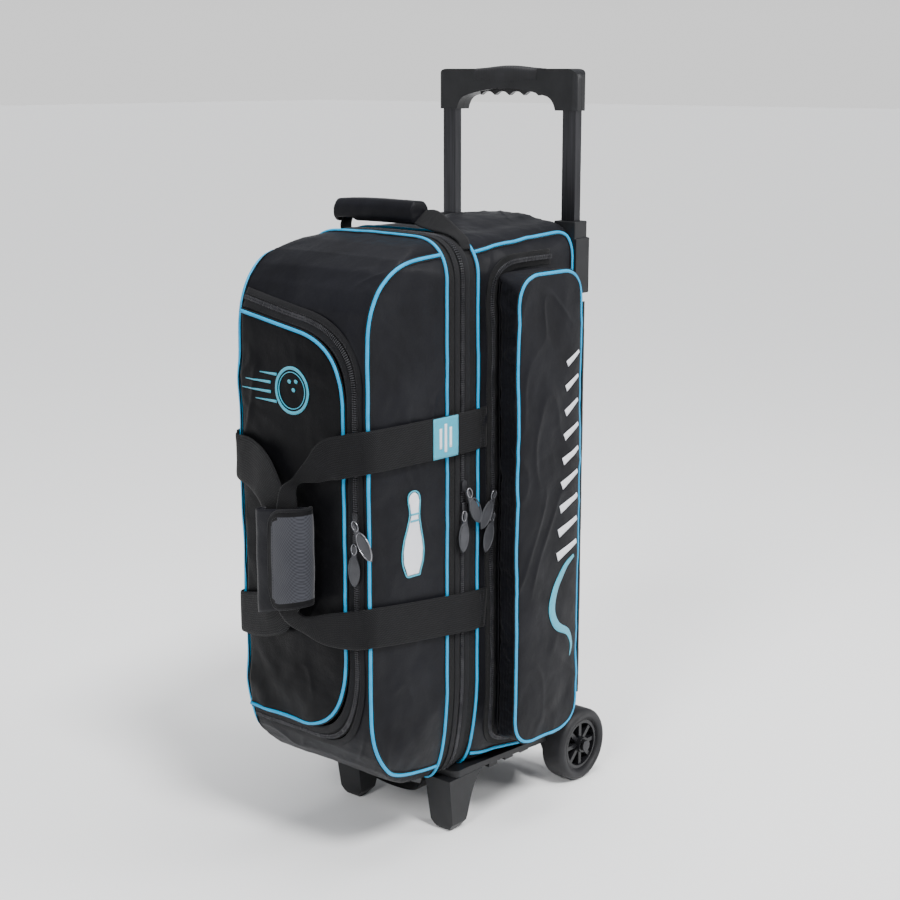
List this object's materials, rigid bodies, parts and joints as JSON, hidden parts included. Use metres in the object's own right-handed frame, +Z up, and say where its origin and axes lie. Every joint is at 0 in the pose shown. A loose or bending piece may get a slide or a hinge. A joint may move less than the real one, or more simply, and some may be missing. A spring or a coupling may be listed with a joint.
{
  "type": "upright roller bag for bowling balls",
  "caption": "Tall soft-sided roller bag for stacked bowling balls, with a pull-out trolley handle, rear wheels, a zipped shoe compartment, side pockets and carry straps.",
  "frame": {"origin": "centre of the footprint, on the floor", "axes": "+Z up; the shoe compartment and carry straps face -Y, the trolley and wheels are at +Y, and +X is the bag's own left-to-right when seen from the front"},
  "size_m": [0.332, 0.52, 1.002],
  "materials": {
    "shell_fabric": "black coated polyester, fine diagonal weave with a soft sheen",
    "zip_tape": "black woven zip tape with coil zip",
    "lining": "dark grey lining cloth",
    "board": "black corrugated board under lining",
    "foam": "moulded foam faced with dark grey cloth",
    "plastic": "black moulded plastic, lightly grained",
    "tube": "black anodised aluminium, satin",
    "steel": "plated steel rod",
    "tyre_rubber": "smooth black polyurethane tyre",
    "grip_rubber": "soft black ribbed overmould",
    "webbing": "black ribbed polypropylene webbing",
    "wrap_fabric": "dark grey quilted cloth with black binding",
    "slider_metal": "black enamelled zinc",
    "pull_metal": "gunmetal ring with a moulded dark leaf",
    "piping": "sky blue piping cord, satin; drawn in the visual model only"
  },
  "bodies": {
    "body": {"body_shell": "shell_fabric", "body_zip_tape": "zip_tape", "back_board": "board", "ball_cup_lower": "foam", "ball_cup_middle": "foam", "ball_cup_upper": "foam", "base_tray": "plastic", "axle_carrier": "plastic", "axle": "steel", "foot_right": "plastic", "foot_left": "plastic", "outer_tube_right": "tube", "outer_tube_left": "tube", "collar_right": "plastic", "collar_left": "plastic", "skid_rail_right": "plastic", "skid_rail_left": "plastic"},
    "handle": {"inner_tube_right": "tube", "inner_tube_left": "tube", "lock_block_right": "plastic", "lock_block_left": "plastic", "grip_front": "plastic", "grip_rear": "plastic", "grip_overmould": "grip_rubber"},
    "trigger": {"release_trigger": "plastic"},
    "wheel_right": {"wheel_tyre_right": "tyre_rubber", "wheel_hub_right": "plastic"},
    "wheel_left": {"wheel_tyre_left": "tyre_rubber", "wheel_hub_left": "plastic"},
    "lid": {"lid_shell": "shell_fabric", "lid_zip_tape": "zip_tape", "lid_partition": "lining", "door_zip_tape": "zip_tape", "left_strap_upper": "webbing", "left_strap_lower": "webbing"},
    "door": {"shoe_door": "shell_fabric"},
    "left_loop": {"left_loop": "webbing", "handle_wrap": "wrap_fabric"},
    "right_loop": {"right_loop": "webbing"},
    "pocket_right": {"pocket_cover_right": "shell_fabric"},
    "pocket_left": {"pocket_cover_left": "shell_fabric"},
    "grab_handle": {"grab_webbing": "webbing", "grab_pad": "shell_fabric"},
    "bottom_handle": {"bottom_handle": "webbing"},
    "main_slider_upper": {"main_slider_upper": "slider_metal"},
    "main_pull_upper": {"main_pull_upper": "pull_metal"},
    "main_slider_lower": {"main_slider_lower": "slider_metal"},
    "main_pull_lower": {"main_pull_lower": "pull_metal"},
    "door_slider_upper": {"door_slider_upper": "slider_metal"},
    "door_pull_upper": {"door_pull_upper": "pull_metal"},
    "door_slider_lower": {"door_slider_lower": "slider_metal"},
    "door_pull_lower": {"door_pull_lower": "pull_metal"},
    "right_pocket_slider_upper": {"right_pocket_slider_upper": "slider_metal"},
    "right_pocket_pull_upper": {"right_pocket_pull_upper": "pull_metal"},
    "right_pocket_slider_lower": {"right_pocket_slider_lower": "slider_metal"},
    "right_pocket_pull_lower": {"right_pocket_pull_lower": "pull_metal"},
    "left_pocket_slider_upper": {"left_pocket_slider_upper": "slider_metal"},
    "left_pocket_pull_upper": {"left_pocket_pull_upper": "pull_metal"},
    "left_pocket_slider_lower": {"left_pocket_slider_lower": "slider_metal"},
    "left_pocket_pull_lower": {"left_pocket_pull_lower": "pull_metal"}
  },
  "joints": [
    {"name": "handle_slide", "type": "slide", "parent": "body", "child": "handle", "axis": [0, 0, 1], "range_m": [-0.14, 0]},
    {"name": "trigger_press", "type": "slide", "parent": "handle", "child": "trigger", "axis": [0, 0, 1], "range_m": [0, 0.005], "stiffness_N_per_m": 900},
    {"name": "wheel_right_spin", "type": "hinge", "parent": "body", "child": "wheel_right", "pos_m": [0.1075, 0.208, 0.052], "axis": [1, 0, 0], "continuous": true},
    {"name": "wheel_left_spin", "type": "hinge", "parent": "body", "child": "wheel_left", "pos_m": [-0.1075, 0.208, 0.052], "axis": [1, 0, 0], "continuous": true},
    {"name": "lid_hinge", "type": "hinge", "parent": "body", "child": "lid", "pos_m": [-0.118, -0.052, 0.438], "axis": [0, 0, -1], "range_deg": [0, 100], "deforming": ["left_strap_upper", "left_strap_lower", "right_loop"]},
    {"name": "door_hinge", "type": "hinge", "parent": "lid", "child": "door", "pos_m": [-0.105, -0.219, 0.44], "axis": [0, 0, -1], "range_deg": [0, 100]},
    {"name": "left_loop_swing", "type": "hinge", "parent": "lid", "child": "left_loop", "pos_m": [-0.1165, -0.2155, 0.43], "axis": [0, 0, -1], "range_deg": [0, 100]},
    {"name": "right_loop_swing", "type": "hinge", "parent": "body", "child": "right_loop", "pos_m": [0.1205, -0.015, 0.43], "axis": [0, 0, 1], "range_deg": [0, 100]},
    {"name": "pocket_right_hinge", "type": "hinge", "parent": "body", "child": "pocket_right", "pos_m": [0.118, 0.134, 0.432], "axis": [0, 0, 1], "range_deg": [0, 70]},
    {"name": "pocket_left_hinge", "type": "hinge", "parent": "body", "child": "pocket_left", "pos_m": [-0.118, 0.134, 0.432], "axis": [0, 0, -1], "range_deg": [0, 70]},
    {"name": "grab_handle_tilt", "type": "hinge", "parent": "body", "child": "grab_handle", "pos_m": [0, -0.032, 0.784], "axis": [1, 0, 0], "range_deg": [-10, 10], "stiffness_Nm_per_rad": 0.6},
    {"name": "bottom_handle_swing", "type": "hinge", "parent": "body", "child": "bottom_handle", "pos_m": [0, -0.045, 0.084], "axis": [1, 0, 0], "range_deg": [-15, 15]},
    {"name": "main_slider_upper_slide", "type": "slide", "parent": "body", "child": "main_slider_upper", "axis": [0, 0, 1], "range_m": [0, 0.26]},
    {"name": "main_slider_lower_slide", "type": "slide", "parent": "body", "child": "main_slider_lower", "axis": [0, 0, 1], "range_m": [-0.23, 0]},
    {"name": "door_slider_upper_slide", "type": "slide", "parent": "lid", "child": "door_slider_upper", "axis": [0, 0, 1], "range_m": [0, 0.13]},
    {"name": "door_slider_lower_slide", "type": "slide", "parent": "lid", "child": "door_slider_lower", "axis": [0, 0, 1], "range_m": [-0.14, 0]},
    {"name": "right_pocket_slider_upper_slide", "type": "slide", "parent": "body", "child": "right_pocket_slider_upper", "axis": [0, 0, 1], "range_m": [0, 0.24]},
    {"name": "right_pocket_slider_lower_slide", "type": "slide", "parent": "body", "child": "right_pocket_slider_lower", "axis": [0, 0, 1], "range_m": [-0.28, 0]},
    {"name": "left_pocket_slider_upper_slide", "type": "slide", "parent": "body", "child": "left_pocket_slider_upper", "axis": [0, 0, 1], "range_m": [0, 0.24]},
    {"name": "left_pocket_slider_lower_slide", "type": "slide", "parent": "body", "child": "left_pocket_slider_lower", "axis": [0, 0, 1], "range_m": [-0.28, 0]},
    {"name": "main_pull_upper_swing", "type": "hinge", "parent": "main_slider_upper", "child": "main_pull_upper", "pos_m": [0.127, -0.052, 0.474], "axis": [0, -1, 0], "range_deg": [0, 110]},
    {"name": "main_pull_lower_swing", "type": "hinge", "parent": "main_slider_lower", "child": "main_pull_lower", "pos_m": [0.1244, -0.052, 0.446], "axis": [0, -1, 0], "range_deg": [0, 110]},
    {"name": "door_pull_upper_swing", "type": "hinge", "parent": "door_slider_upper", "child": "door_pull_upper", "pos_m": [0.091, -0.2237, 0.46], "axis": [-1, 0, 0], "range_deg": [0, 110]},
    {"name": "door_pull_lower_swing", "type": "hinge", "parent": "door_slider_lower", "child": "door_pull_lower", "pos_m": [0.091, -0.2211, 0.432], "axis": [-1, 0, 0], "range_deg": [0, 110]},
    {"name": "right_pocket_pull_upper_swing", "type": "hinge", "parent": "right_pocket_slider_upper", "child": "right_pocket_pull_upper", "pos_m": [0.127, 0.005, 0.462], "axis": [0, -1, 0], "range_deg": [0, 110]},
    {"name": "right_pocket_pull_lower_swing", "type": "hinge", "parent": "right_pocket_slider_lower", "child": "right_pocket_pull_lower", "pos_m": [0.1244, 0.005, 0.434], "axis": [0, -1, 0], "range_deg": [0, 110]},
    {"name": "left_pocket_pull_upper_swing", "type": "hinge", "parent": "left_pocket_slider_upper", "child": "left_pocket_pull_upper", "pos_m": [-0.127, 0.005, 0.462], "axis": [0, 1, 0], "range_deg": [0, 110]},
    {"name": "left_pocket_pull_lower_swing", "type": "hinge", "parent": "left_pocket_slider_lower", "child": "left_pocket_pull_lower", "pos_m": [-0.1244, 0.005, 0.434], "axis": [0, 1, 0], "range_deg": [0, 110]}
  ],
  "couplings": [
    {"joint": "left_loop_swing", "follows": "door_hinge", "ratio": 1},
    {"joint": "right_loop_swing", "follows": "lid_hinge", "ratio": 1}
  ]
}
